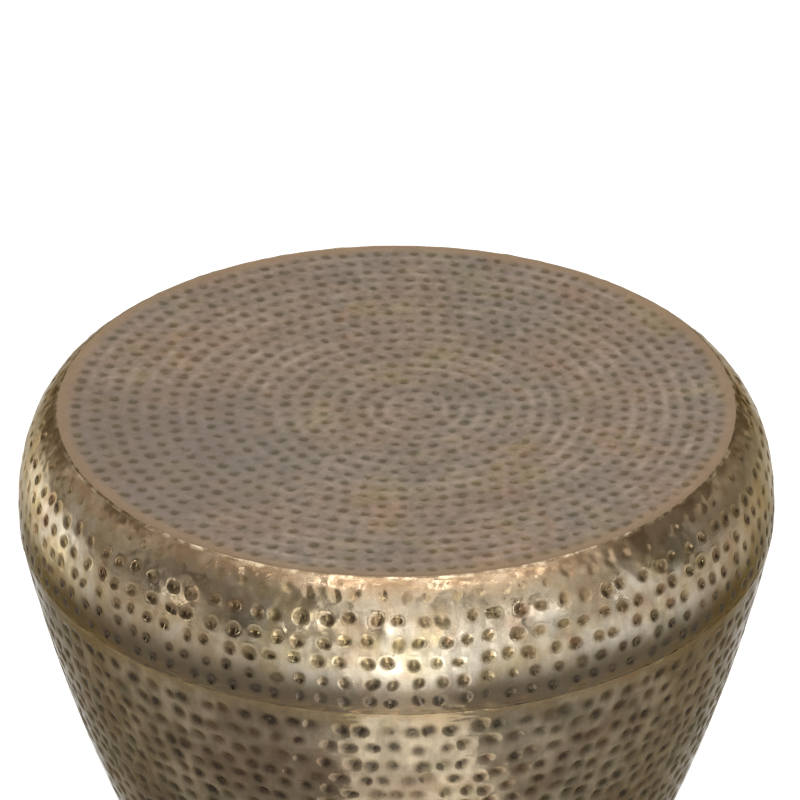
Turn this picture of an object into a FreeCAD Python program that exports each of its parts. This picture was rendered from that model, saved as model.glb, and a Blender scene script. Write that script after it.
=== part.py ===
import FreeCAD, Part
import math
import os
import Sketcher

# Drum side table in hammered sheet brass: a flat round top, a rounded shoulder and a convex wall
# that narrows to the floor. Millimetres, +Z up, origin on the floor at the centre of the base.

doc = FreeCAD.newDocument("drum_side_table")

# ---------------------------------------------------------------- driving dimensions
DRIVING = (
    ("table_height", 430.0, "floor to rim crease"),
    ("belly_radius", 250.0, "widest circle of the shoulder"),
    ("sheet_thickness", 1.2, "brass sheet of top, shoulder and wall"),
    # shoulder: a quarter-ellipse section that ends in a crease at the rim
    ("shoulder_width", 28.6, "rim crease to widest circle, across"),
    ("belly_drop", 72.5, "rim crease down to widest circle"),
    ("crease_angle", 76.5, "degrees of the ellipse from widest circle to crease"),
    ("seam_drop", 80.3, "rim crease down to the horizontal seam"),
    # wall: one arc from the seam to a rolled bottom edge
    ("wall_angle", 9.9, "degrees that the wall leans in at the seam"),
    ("wall_curve_radius", 1228.0, "outer arc of the wall"),
    ("wire_radius", 2.5, "wire in the rolled edge"),
    ("wire_gap", 0.3, "wire to the sheet rolled round it"),
    ("foot_lift", 3.0, "floor to the rolled edge"),
    # top disc
    ("top_recess", 0.4, "rim crease down to the disc"),
    ("braze_gap", 0.2, "disc lip to the shoulder's mouth"),
    ("bend_radius", 1.8, "outside bend of the disc's lip"),
    ("lip_depth", 10.0, "depth of the lip"),
    # inner steelwork
    ("seat_gap", 0.3, "formed steel to the sheet that it is brazed to"),
    ("top_hoop_thickness", 3.0, "hoop under the top's edge"),
    ("top_hoop_height", 20.0, "hoop under the top's edge"),
    ("bar_thickness", 3.0, "cross bars under the top"),
    ("bar_height", 18.0, "cross bars under the top"),
    ("slot_gap", 0.1, "each side of a bar in the other bar's slot"),
    ("joint_hoop_thickness", 2.0, "band behind the seam"),
    ("joint_hoop_height", 24.0, "band behind the seam"),
    ("strip_angle", 6.0, "degrees of the circle that a seam strip backs"),
    ("strip_thickness", 1.5, "strips behind the wall's upright seams"),
    ("strip_end_gap", 2.0, "strip's ends to the band above and the ring below"),
    # base
    ("ring_thickness", 2.5, "ring that carries the glides"),
    ("ring_width", 36.0, "ring that carries the glides"),
    ("glide_radius", 11.0, "glide at its top"),
    ("glide_foot_radius", 9.5, "glide at the floor"),
    ("glide_edge", 1.5, "rounded lower edge of a glide"),
    ("glide_clearance", 1.5, "glide to the rolled edge"),
    ("stud_radius", 2.5, "stud moulded in a glide"),
    ("stud_depth", 6.0, "depth of the stud in its glide"),
    ("stud_clearance", 0.05, "stud in its glide, all round"),
    ("hole_clearance", 0.3, "stud in the ring, all round"),
    ("nut_width", 8.0, "nut across its flats"),
    ("nut_height", 4.0, "nut"),
    ("nut_clearance", 0.1, "nut round its stud"),
    ("stud_end", 1.5, "stud past its nut"),
    ("glide_count", 4, "glides round the base"),
)
sizes = doc.addObject("Spreadsheet::Sheet", "Sizes")
for row, (alias, amount, note) in enumerate(DRIVING, 1):
    sizes.set("A%d" % row, alias)
    sizes.set("B%d" % row, str(amount))
    sizes.set("C%d" % row, note)
    sizes.setAlias("B%d" % row, alias)
doc.recompute()

# ---------------------------------------------------------------- places that follow from them
# The shoulder's ellipse passes through the widest circle and through the rim crease. The wall's arc
# starts at the seam. The rolled edge's circle touches the inside of that arc just above the floor.
DERIVED = (
    ("rim_radius", "S.belly_radius - S.shoulder_width"),
    ("half_width", "S.shoulder_width / (1 - cos(S.crease_angle))"),
    ("half_height", "S.belly_drop / sin(S.crease_angle)"),
    ("belly_height", "S.table_height - S.belly_drop"),
    ("ellipse_centre", "S.belly_radius - D.half_width"),
    ("seam_height", "S.table_height - S.seam_drop"),
    ("seam_slip", "(S.seam_drop - S.belly_drop) / D.half_height"),
    ("seam_radius", "D.ellipse_centre + D.half_width * sqrt(1 - D.seam_slip ^ 2)"),
    ("wall_centre", "D.seam_radius - S.wall_curve_radius * cos(S.wall_angle)"),
    ("wall_centre_height", "D.seam_height + S.wall_curve_radius * sin(S.wall_angle)"),
    ("wall_inner_curve", "S.wall_curve_radius - S.sheet_thickness"),
    ("curl_inner", "S.wire_radius + S.wire_gap"),
    ("curl_outer", "D.curl_inner + S.sheet_thickness"),
    ("curl_height", "S.foot_lift + D.curl_outer"),
    ("curl_reach", "D.wall_inner_curve - D.curl_inner"),
    ("curl_fall", "D.wall_centre_height - D.curl_height"),
    ("curl_centre", "D.wall_centre + sqrt(D.curl_reach ^ 2 - D.curl_fall ^ 2)"),
    ("touch_across", "(D.curl_centre - D.wall_centre) / D.curl_reach"),
    ("touch_fall", "D.curl_fall / D.curl_reach"),
    ("top_plane", "S.table_height - S.top_recess"),
    ("top_under", "D.top_plane - S.sheet_thickness"),
    ("disc_radius", "D.rim_radius - S.braze_gap"),
    ("top_hoop_radius", "D.disc_radius - S.bend_radius"),
    ("bar_reach", "D.top_hoop_radius - S.top_hoop_thickness - S.seat_gap"),
    ("ring_bottom", "D.curl_height + D.curl_outer + S.seat_gap"),
    ("ring_top", "D.ring_bottom + S.ring_thickness"),
    ("ring_fall", "D.wall_centre_height - D.ring_bottom"),
    ("ring_radius", "D.wall_centre + sqrt(D.wall_inner_curve ^ 2 - D.ring_fall ^ 2) - S.seat_gap"),
    ("glide_circle", "D.curl_centre - D.curl_outer - S.glide_clearance - S.glide_radius"),
    ("strip_top", "D.seam_height - S.joint_hoop_height / 2 - S.strip_end_gap"),
    ("strip_bottom", "D.ring_top + S.strip_end_gap"),
)
derived = doc.addObject("Spreadsheet::Sheet", "Derived")
for row, (alias, formula) in enumerate(DERIVED, 1):
    formula = formula.replace("S.", "Sizes.").replace("D.", "")
    derived.set("A%d" % row, alias)
    derived.set("B%d" % row, "=" + formula)
    derived.setAlias("B%d" % row, alias)
doc.recompute()


def full(expression):
    """Expression with the sheets' whole names in place of S and D."""
    return expression.replace("S.", "Sizes.").replace("D.", "Derived.")


def number(expression):
    """What an expression of the sheets' cells comes to now."""
    found = sizes.evalExpression(full(expression))
    return float(getattr(found, "Value", found))


def spot(across, up):
    """Sketch point from two expressions."""
    return FreeCAD.Vector(number(across), number(up), 0)


# ---------------------------------------------------------------- sketching
START, END, CENTRE = 1, 2, 3


def origin_feature(body, role):
    return next(o for o in body.Origin.OriginFeatures if o.Role == role)


def new_body(label):
    body = doc.addObject("PartDesign::Body", label)
    body.Label = label
    return body


def new_sketch(body, name, role):
    """Sketch on one of the body's own origin planes."""
    sketch = body.newObject("Sketcher::SketchObject", body.Name + "_" + name)
    sketch.AttachmentSupport = [(origin_feature(body, role), "")]
    sketch.MapMode = "FlatFace"
    return sketch


def bind(sketch, constraint, expression):
    """Add a dimension and tie it to an expression."""
    index = sketch.addConstraint(constraint)
    sketch.setExpression("Constraints[%d]" % index, full(expression))


def place(sketch, edge, point, across=None, up=None):
    """Tie a point's distances from the sketch's origin."""
    for kind, expression in (("DistanceX", across), ("DistanceY", up)):
        if expression is not None:
            distance = Sketcher.Constraint(kind, -1, 1, edge, point, number(expression))
            bind(sketch, distance, expression)


def join(sketch, edge, point, other, other_point):
    sketch.addConstraint(Sketcher.Constraint("Coincident", edge, point, other, other_point))


def smooth(sketch, edge, point, other, other_point):
    """Join two arcs end to end in one tangent."""
    sketch.addConstraint(Sketcher.Constraint("Tangent", edge, point, other, other_point))


def add_line(sketch, start, end):
    return sketch.addGeometry(Part.LineSegment(start, end), False)


def add_arc(sketch, centre, radius, first, last):
    """Arc that runs counter-clockwise from one angle to the other, in radians."""
    circle = Part.Circle(centre, FreeCAD.Vector(0, 0, 1), radius)
    return sketch.addGeometry(Part.ArcOfCircle(circle, first, last), False)


def angle_of(centre, point):
    return math.atan2(point.y - centre.y, point.x - centre.x)


def add_polygon(sketch, corners):
    """Closed outline of straight lines, each corner tied to its two expressions."""
    spots = [spot(*corner) for corner in corners]
    lines = [add_line(sketch, a, b) for a, b in zip(spots, spots[1:] + spots[:1])]
    for line, following, corner in zip(lines, lines[1:] + lines[:1], corners[1:] + corners[:1]):
        join(sketch, line, END, following, START)
        place(sketch, following, START, *corner)


def revolve(body, sketch, angle="360", symmetric=False, reverse=False):
    """Turn a section about the upright axis of its sketch."""
    turn = body.newObject("PartDesign::Revolution", body.Name + "_turn")
    turn.Profile = sketch
    turn.ReferenceAxis = (sketch, ["V_Axis"])
    turn.setExpression("Angle", full(angle))
    turn.Midplane = symmetric
    turn.Reversed = reverse
    sketch.Visibility = False
    return turn


# ---------------------------------------------------------------- top disc
def make_top_disc():
    """Flat disc whose edge is bent down into a lip inside the shoulder's mouth."""
    body = new_body("top_disc")
    section = new_sketch(body, "section", "XZ_Plane")
    bend = spot("D.disc_radius - S.bend_radius", "D.top_plane - S.bend_radius")
    outer = number("S.bend_radius")
    inner = number("S.bend_radius - S.sheet_thickness")
    lip_outer = spot("D.disc_radius", "D.top_plane - S.lip_depth")
    lip_inner = spot("D.disc_radius - S.sheet_thickness", "D.top_plane - S.lip_depth")
    bend_out = add_arc(section, bend, outer, 0, math.pi / 2)
    bend_in = add_arc(section, bend, inner, 0, math.pi / 2)
    face = add_line(section, spot("0", "D.top_plane"), bend + FreeCAD.Vector(0, outer, 0))
    axis = add_line(section, spot("0", "D.top_under"), spot("0", "D.top_plane"))
    under = add_line(section, bend + FreeCAD.Vector(0, inner, 0), spot("0", "D.top_under"))
    lip_out = add_line(section, bend + FreeCAD.Vector(outer, 0, 0), lip_outer)
    lip_end = add_line(section, lip_outer, lip_inner)
    lip_in = add_line(section, lip_inner, bend + FreeCAD.Vector(inner, 0, 0))
    join(section, axis, END, face, START)
    join(section, under, END, axis, START)
    smooth(section, face, END, bend_out, END)
    smooth(section, bend_out, START, lip_out, START)
    join(section, lip_out, END, lip_end, START)
    join(section, lip_end, END, lip_in, START)
    smooth(section, lip_in, END, bend_in, START)
    smooth(section, bend_in, END, under, START)
    join(section, bend_in, CENTRE, bend_out, CENTRE)
    section.addConstraint(Sketcher.Constraint("Horizontal", face))
    section.addConstraint(Sketcher.Constraint("Horizontal", lip_end))
    place(section, axis, END, "0", "D.top_plane")
    place(section, axis, START, "0", "D.top_under")
    place(section, lip_out, END, "D.disc_radius", "D.top_plane - S.lip_depth")
    bind(section, Sketcher.Constraint("Radius", bend_out, outer), "S.bend_radius")
    revolve(body, section)
    return body


# ---------------------------------------------------------------- shoulder
def add_ellipse_arc(sketch, half_width, half_height, foot_up, top_across):
    """Right-hand arc of an upright ellipse about the shoulder's centre.

    It runs up from the height foot_up to the distance top_across from the axis.
    """
    centre = spot("D.ellipse_centre", "D.belly_height")
    wide, tall = number(half_width), number(half_height)
    foot = math.asin((number(foot_up) - centre.y) / tall)
    top = math.acos((number(top_across) - centre.x) / wide)
    ellipse = Part.Ellipse(
        centre + FreeCAD.Vector(0, tall, 0), centre + FreeCAD.Vector(-wide, 0, 0), centre
    )
    quarter = math.pi / 2
    arc = sketch.addGeometry(Part.ArcOfEllipse(ellipse, foot - quarter, top - quarter), False)
    sketch.exposeInternalGeometry(arc)
    major, minor = arc + 1, arc + 2
    sketch.addConstraint(Sketcher.Constraint("Vertical", major))
    place(sketch, arc, CENTRE, "D.ellipse_centre", "D.belly_height")
    bind(sketch, Sketcher.Constraint("Distance", major, 2 * tall), "2 * (%s)" % half_height)
    bind(sketch, Sketcher.Constraint("Distance", minor, 2 * wide), "2 * (%s)" % half_width)
    return arc, ellipse.value(foot - quarter), ellipse.value(top - quarter)


def make_shoulder_band():
    """Spun band of even thickness: rim crease, rounded shoulder, widest circle, seam edge."""
    body = new_body("shoulder_band")
    section = new_sketch(body, "section", "XZ_Plane")
    outer, outer_foot, outer_top = add_ellipse_arc(
        section, "D.half_width", "D.half_height", "D.seam_height", "D.rim_radius"
    )
    inner, inner_foot, inner_top = add_ellipse_arc(
        section,
        "D.half_width - S.sheet_thickness",
        "D.half_height - S.sheet_thickness",
        "D.seam_height",
        "D.rim_radius",
    )
    mouth = add_line(section, outer_top, inner_top)
    edge = add_line(section, inner_foot, outer_foot)
    join(section, outer, END, mouth, START)
    join(section, mouth, END, inner, END)
    join(section, inner, START, edge, START)
    join(section, edge, END, outer, START)
    section.addConstraint(Sketcher.Constraint("Vertical", mouth))
    section.addConstraint(Sketcher.Constraint("Horizontal", edge))
    place(section, mouth, START, "D.rim_radius")
    place(section, edge, END, None, "D.seam_height")
    revolve(body, section)
    return body


# ---------------------------------------------------------------- wall
def touch_point(radius):
    """Expressions for where an arc about the wall's centre runs into the rolled edge."""
    across = "D.wall_centre + %s * D.touch_across" % radius
    return across, "D.wall_centre_height - %s * D.touch_fall" % radius


def make_wall_half(label, reverse):
    """Half of the wall: a leaning arc that is rolled inwards round the base wire."""
    body = new_body(label)
    section = new_sketch(body, "section", "XZ_Plane")
    centre = spot("D.wall_centre", "D.wall_centre_height")
    curl = spot("D.curl_centre", "D.curl_height")
    outer, inner = number("S.wall_curve_radius"), number("D.wall_inner_curve")
    drop = number("D.seam_height - D.wall_centre_height")
    touch = angle_of(centre, curl)
    wall_out = add_arc(section, centre, outer, touch, math.asin(drop / outer))
    wall_in = add_arc(section, centre, inner, touch, math.asin(drop / inner))
    up = math.pi / 2
    curl_out = add_arc(section, curl, number("D.curl_outer"), up, touch + 2 * math.pi)
    curl_in = add_arc(section, curl, number("D.curl_inner"), up, touch + 2 * math.pi)
    edges = [section.Geometry[i] for i in (wall_out, wall_in, curl_out, curl_in)]
    edge = add_line(section, edges[1].EndPoint, edges[0].EndPoint)
    lip = add_line(section, edges[2].StartPoint, edges[3].StartPoint)
    join(section, wall_out, START, curl_out, END)
    join(section, wall_in, START, curl_in, END)
    join(section, wall_in, END, edge, START)
    join(section, edge, END, wall_out, END)
    join(section, curl_out, START, lip, START)
    join(section, lip, END, curl_in, START)
    section.addConstraint(Sketcher.Constraint("Horizontal", edge))
    section.addConstraint(Sketcher.Constraint("Vertical", lip))
    place(section, wall_out, CENTRE, "D.wall_centre", "D.wall_centre_height")
    place(section, wall_in, CENTRE, "D.wall_centre", "D.wall_centre_height")
    place(section, curl_out, CENTRE, "D.curl_centre", "D.curl_height")
    place(section, curl_in, CENTRE, "D.curl_centre", "D.curl_height")
    place(section, wall_out, START, *touch_point("S.wall_curve_radius"))
    place(section, wall_in, START, *touch_point("D.wall_inner_curve"))
    place(section, edge, END, None, "D.seam_height")
    place(section, lip, START, "D.curl_centre")
    revolve(body, section, "180", reverse=reverse)
    return body


def make_base_wire():
    """Ring of round wire at the centre of the rolled edge."""
    wire = doc.addObject("Part::Torus", "base_wire")
    wire.Label = "base_wire"
    wire.setExpression("Radius1", full("D.curl_centre"))
    wire.setExpression("Radius2", full("S.wire_radius"))
    wire.setExpression("Placement.Base.z", full("D.curl_height"))
    return wire


# ---------------------------------------------------------------- steel behind the seams
def shoulder_inside(up):
    """Expression for the shoulder's inner radius at a height."""
    wide = "(D.half_width - S.sheet_thickness)"
    tall = "(D.half_height - S.sheet_thickness)"
    return "D.ellipse_centre + %s * sqrt(1 - ((%s - D.belly_height) / %s) ^ 2)" % (wide, up, tall)


def wall_inside(up):
    """Expression for the wall's inner radius at a height."""
    return "D.wall_centre + sqrt(D.wall_inner_curve ^ 2 - (D.wall_centre_height - (%s)) ^ 2)" % up


def make_joint_hoop():
    """Flat band, bent at the seam to follow the shoulder above it and the wall below."""
    body = new_body("joint_hoop")
    section = new_sketch(body, "section", "XZ_Plane")
    top = "(D.seam_height + S.joint_hoop_height / 2)"
    foot = "(D.seam_height - S.joint_hoop_height / 2)"
    outer = (
        (shoulder_inside(top) + " - S.seat_gap", top),
        (wall_inside("D.seam_height") + " - S.seat_gap", "D.seam_height"),
        (wall_inside(foot) + " - S.seat_gap", foot),
    )
    inner = [(across + " - S.joint_hoop_thickness", up) for across, up in reversed(outer)]
    add_polygon(section, list(outer) + inner)
    revolve(body, section)
    return body


def make_side_strip(label, turned):
    """Narrow strip that follows the wall's inside behind one upright seam."""
    body = new_body(label)
    section = new_sketch(body, "section", "XZ_Plane")
    centre = spot("D.wall_centre", "D.wall_centre_height")
    outer = number("D.wall_inner_curve - S.seat_gap")
    inner = number("D.wall_inner_curve - S.seat_gap - S.strip_thickness")
    foot = number("D.strip_bottom") - centre.y
    top = number("D.strip_top") - centre.y
    face = add_arc(section, centre, outer, math.asin(foot / outer), math.asin(top / outer))
    back = add_arc(section, centre, inner, math.asin(foot / inner), math.asin(top / inner))
    edges = [section.Geometry[i] for i in (face, back)]
    upper = add_line(section, edges[0].EndPoint, edges[1].EndPoint)
    lower = add_line(section, edges[1].StartPoint, edges[0].StartPoint)
    join(section, face, END, upper, START)
    join(section, upper, END, back, END)
    join(section, back, START, lower, START)
    join(section, lower, END, face, START)
    section.addConstraint(Sketcher.Constraint("Horizontal", upper))
    section.addConstraint(Sketcher.Constraint("Horizontal", lower))
    place(section, face, CENTRE, "D.wall_centre", "D.wall_centre_height")
    place(section, back, CENTRE, "D.wall_centre", "D.wall_centre_height")
    place(section, upper, START, None, "D.strip_top")
    place(section, lower, START, None, "D.strip_bottom")
    thickness = "D.wall_inner_curve - S.seat_gap - S.strip_thickness"
    bind(section, Sketcher.Constraint("Radius", face, outer), "D.wall_inner_curve - S.seat_gap")
    bind(section, Sketcher.Constraint("Radius", back, inner), thickness)
    revolve(body, section, "S.strip_angle", symmetric=True)
    body.Placement.Rotation = FreeCAD.Rotation(FreeCAD.Vector(0, 0, 1), turned)
    return body


# ---------------------------------------------------------------- steel under the top
def make_top_hoop():
    """Flat bar on edge, rolled to a hoop inside the disc's lip."""
    body = new_body("top_hoop")
    section = new_sketch(body, "section", "XZ_Plane")
    inside = "D.top_hoop_radius - S.top_hoop_thickness"
    foot = "D.top_under - S.top_hoop_height"
    corners = [
        ("D.top_hoop_radius", "D.top_under"),
        (inside, "D.top_under"),
        (inside, foot),
        ("D.top_hoop_radius", foot),
    ]
    add_polygon(section, corners)
    revolve(body, section)
    return body


def make_brace_bar(label, role, slot_on_top):
    """Bar on edge across the hoop, halved at the middle to cross the other bar."""
    body = new_body(label)
    section = new_sketch(body, "side", role)
    foot = "D.top_under - S.bar_height"
    middle = "D.top_under - S.bar_height / 2"
    slot = "(S.bar_thickness / 2 + S.slot_gap)"
    near, far = ("D.top_under", foot) if slot_on_top else (foot, "D.top_under")
    corners = [
        ("-D.bar_reach", far),
        ("D.bar_reach", far),
        ("D.bar_reach", near),
        (slot, near),
        (slot, middle),
        ("-" + slot, middle),
        ("-" + slot, near),
        ("-D.bar_reach", near),
    ]
    add_polygon(section, corners)
    pad = body.newObject("PartDesign::Pad", label + "_pad")
    pad.Profile = section
    pad.Midplane = True
    pad.setExpression("Length", full("S.bar_thickness"))
    section.Visibility = False
    return body


# ---------------------------------------------------------------- base
def make_base_ring():
    """Flat ring brazed inside the wall on top of the rolled edge, drilled for the glide studs."""
    body = new_body("base_ring")
    outline = new_sketch(body, "outline", "XY_Plane")
    for across in ("D.ring_radius", "D.ring_radius - S.ring_width"):
        circle = Part.Circle(FreeCAD.Vector(), FreeCAD.Vector(0, 0, 1), number(across))
        edge = outline.addGeometry(circle, False)
        join(outline, edge, CENTRE, -1, 1)
        bind(outline, Sketcher.Constraint("Radius", edge, number(across)), across)
    outline.setExpression("AttachmentOffset.Base.z", full("D.ring_bottom"))
    pad = body.newObject("PartDesign::Pad", "base_ring_pad")
    pad.Profile = outline
    pad.setExpression("Length", full("S.ring_thickness"))
    drilling = new_sketch(body, "drilling", "XY_Plane")
    bore = "S.stud_radius + S.hole_clearance"
    across, up = glide_place(0)
    circle = Part.Circle(spot(across, up), FreeCAD.Vector(0, 0, 1), number(bore))
    hole = drilling.addGeometry(circle, False)
    bind(drilling, Sketcher.Constraint("Radius", hole, number(bore)), bore)
    place(drilling, hole, CENTRE, across, up)
    drilling.setExpression("AttachmentOffset.Base.z", full("D.ring_bottom"))
    pocket = body.newObject("PartDesign::Pocket", "base_ring_hole")
    pocket.Profile = drilling
    pocket.Reversed = True
    pocket.setExpression("Length", full("S.ring_thickness"))
    doc.recompute()
    pattern = body.newObject("PartDesign::PolarPattern", "base_ring_holes")
    pattern.Originals = [pocket]
    pattern.Axis = (origin_feature(body, "Z_Axis"), [""])
    pattern.setExpression("Occurrences", full("S.glide_count"))
    body.Tip = pattern
    doc.recompute()
    before, after = pad.Shape.Volume, pattern.Shape.Volume
    drilled = math.pi * number(bore) ** 2 * number("S.ring_thickness") * number("S.glide_count")
    if abs(before - after - drilled) > 0.01 * drilled:
        raise ValueError("the ring's holes were not all cut")
    for sketch in (outline, drilling):
        sketch.Visibility = False
    return body


def glide_place(index):
    """Expressions for where a glide stands: evenly round the base, the first half a step from +X."""
    turn = "(360 * (%d + 0.5) / S.glide_count)" % index
    return "D.glide_circle * cos(%s)" % turn, "D.glide_circle * sin(%s)" % turn


def stand(thing, index, up):
    """Put an object on the axis of one glide, at a height."""
    across, along = glide_place(index)
    thing.setExpression("Placement.Base.x", full(across))
    thing.setExpression("Placement.Base.y", full(along))
    thing.setExpression("Placement.Base.z", full(up))


def make_glide(label, index):
    """Tapered rubber foot with a blind socket that is moulded round its stud."""
    body = new_body(label)
    section = new_sketch(body, "section", "XZ_Plane")
    socket = "S.stud_radius + S.stud_clearance"
    floor = "D.ring_bottom - S.stud_depth"
    corners = [
        ("0", "0"),
        ("S.glide_foot_radius - S.glide_edge", "0"),
        ("S.glide_foot_radius", "S.glide_edge"),
        ("S.glide_radius", "D.ring_bottom"),
        (socket, "D.ring_bottom"),
        (socket, floor),
        ("0", floor),
    ]
    add_polygon(section, corners)
    revolve(body, section)
    stand(body, index, "0")
    return body


def make_group(label, members):
    """Fasteners of one kind as one sub-part of separate solids."""
    group = doc.addObject("Part::Compound", label)
    group.Label = label
    group.Links = members
    return group


def make_glide_studs():
    studs = []
    for index in range(round(number("S.glide_count"))):
        stud = doc.addObject("Part::Cylinder", "stud")
        stud.setExpression("Radius", full("S.stud_radius"))
        length = "S.stud_depth + S.ring_thickness + S.nut_height + S.stud_end"
        stud.setExpression("Height", full(length))
        stand(stud, index, "D.ring_bottom - S.stud_depth")
        studs.append(stud)
    return make_group("glide_studs", studs)


def make_glide_nuts():
    nuts = []
    for index in range(round(number("S.glide_count"))):
        block = doc.addObject("Part::Prism", "nut_block")
        block.Polygon = 6
        block.setExpression("Circumradius", full("S.nut_width / (2 * cos(30))"))
        block.setExpression("Height", full("S.nut_height"))
        bore = doc.addObject("Part::Cylinder", "nut_bore")
        bore.setExpression("Radius", full("S.stud_radius + S.nut_clearance"))
        bore.setExpression("Height", full("S.nut_height"))
        nut = doc.addObject("Part::Cut", "nut")
        nut.Base = block
        nut.Tool = bore
        stand(nut, index, "D.ring_top")
        nuts.append(nut)
    return make_group("glide_nuts", nuts)


# ---------------------------------------------------------------- assembly
GLIDES = ("glide_back_right", "glide_back_left", "glide_front_left", "glide_front_right")
subparts = [
    make_top_disc(),
    make_shoulder_band(),
    make_wall_half("wall_front", reverse=True),
    make_wall_half("wall_back", reverse=False),
    make_base_wire(),
    make_joint_hoop(),
    make_side_strip("side_strip_right", 0),
    make_side_strip("side_strip_left", 180),
    make_top_hoop(),
    make_brace_bar("brace_bar_long", "XZ_Plane", slot_on_top=True),
    make_brace_bar("brace_bar_cross", "YZ_Plane", slot_on_top=False),
    make_base_ring(),
]
subparts += [make_glide(label, index) for index, label in enumerate(GLIDES)]
subparts += [make_glide_studs(), make_glide_nuts()]
doc.recompute()

failed = [o.Name for o in doc.Objects if "Invalid" in o.State or "Error" in o.State]
if failed:
    raise ValueError("not computed: " + ", ".join(failed))
for part in subparts:
    if part.Shape.isNull() or not part.Shape.isValid() or not part.Shape.Solids:
        raise ValueError("no valid solid: " + part.Label)

os.makedirs("parts", exist_ok=True)
for part in subparts:
    part.Shape.exportStep("parts/%s.step" % part.Label)
    box = part.Shape.BoundBox
    print(
        "%-18s %2d solid %10.0f mm3  z %6.1f to %6.1f  r %6.1f"
        % (part.Label, len(part.Shape.Solids), part.Shape.Volume, box.ZMin, box.ZMax, box.XMax)
    )
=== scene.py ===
import bpy
import numpy as np
from mathutils import Euler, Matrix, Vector


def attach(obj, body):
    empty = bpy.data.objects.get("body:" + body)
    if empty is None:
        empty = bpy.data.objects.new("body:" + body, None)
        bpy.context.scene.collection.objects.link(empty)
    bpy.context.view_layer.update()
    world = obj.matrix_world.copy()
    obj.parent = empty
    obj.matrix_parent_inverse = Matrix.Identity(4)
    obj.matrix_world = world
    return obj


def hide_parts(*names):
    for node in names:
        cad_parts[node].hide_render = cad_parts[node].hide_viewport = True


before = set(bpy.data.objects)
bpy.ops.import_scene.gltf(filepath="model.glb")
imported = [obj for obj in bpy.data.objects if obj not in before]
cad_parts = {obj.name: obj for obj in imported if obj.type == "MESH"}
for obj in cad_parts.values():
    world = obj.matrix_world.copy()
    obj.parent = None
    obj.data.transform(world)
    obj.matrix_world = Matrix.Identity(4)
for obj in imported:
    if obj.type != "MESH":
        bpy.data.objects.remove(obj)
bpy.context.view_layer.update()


# ---------------------------------------------------------------- top disc
# Flat disc of 1.2 mm sheet brass, beaten from above in rings about a swirl near its middle, then
# darkened and waxed. Its edge is turned down into a lip and brazed inside the shoulder's mouth.

SHEET = 0.0012
RIM_RADIUS = 0.2214
RIM_HEIGHT = 0.430
TOP_HEIGHT = RIM_HEIGHT - 0.00055
TOP_UNDER = RIM_HEIGHT - 0.0016
TOP_EDGE = RIM_RADIUS - 0.00012
TOP_LIP = 0.010
SWIRL_PLACE = np.array([0.013, -0.015])
SWIRL_RADIUS = 0.0078
TOP_ROWS = 18
TOP_PITCH = 0.0116
TOP_MARK_SPACING = 0.0122
TOP_MARK = (0.0029, 0.0027)
TOP_MARK_DEPTH = 0.00042
TOP_WANDER = 0.0011
TOP_UNEVEN = 0.00007
TOP_RIDGE = 0.00012
SWIRL_GROOVE = 0.00010
TOP_MARGIN = 0.006
TOP_RISE = 0.00050
TOP_CORNER = 0.00006
TOP_BEND = 0.001
SWAY_WAVES = np.array([2, 3, 5, 8, 13, 21])

# Cells of a row stay this far inside its borders. Then come points round the table, at the rim and
# on inner faces.
ROW_GAP = 0.0006
RIM_POINTS = 420
INNER_POINTS = 240


def sway(angles, phases, reach):
    """Wander of a hand-laid line: the sum of sines of 2 to 21 waves round the piece, each with its
    own phase, scaled to a usual reach."""
    return reach * np.sin(np.multiply.outer(angles, SWAY_WAVES) + phases).sum(-1) / 2.5


def lumps(points, rng, shortest, longest, height):
    """Slow unevenness of beaten sheet: the sum of 28 sine waves that run in chance directions with
    chance lengths and phases, scaled so that its root mean square is the given height."""
    waves = 28
    headings = rng.normal(size=(waves, 3))
    headings /= np.linalg.norm(headings, axis=1)[:, None]
    lengths = rng.uniform(shortest, longest, waves)
    phases = rng.uniform(0, 2 * np.pi, waves)
    turns = points @ (headings * (2 * np.pi / lengths)[:, None]).T + phases
    return height * np.sin(turns).sum(-1) / np.sqrt(waves / 2)


# A ball hammer's mark, by distance from its middle in half widths: how dark the patina lies, and
# how far the polishing wheel reaches. The mark's edge is rounded over by a quarter of its half
# width, and a lip stands round it, whose height is a share of the mark's depth.
MARK_STEPS = np.array([0.0, 0.4, 0.75, 1.1, 1.5, 2.2])
MARK_PATINA = np.array([0.88, 1.0, 0.90, 0.52, 0.20, 0.0])
MARK_POLISH = np.array([0.0, 0.0, 0.1, 0.55, 0.9, 1.0])
MARK_EDGE = 4.0
MARK_REACH = 1.5
LIP_HEIGHT = 0.16
LIP_PLACE = 1.3
LIP_WIDTH = 0.24


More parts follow.
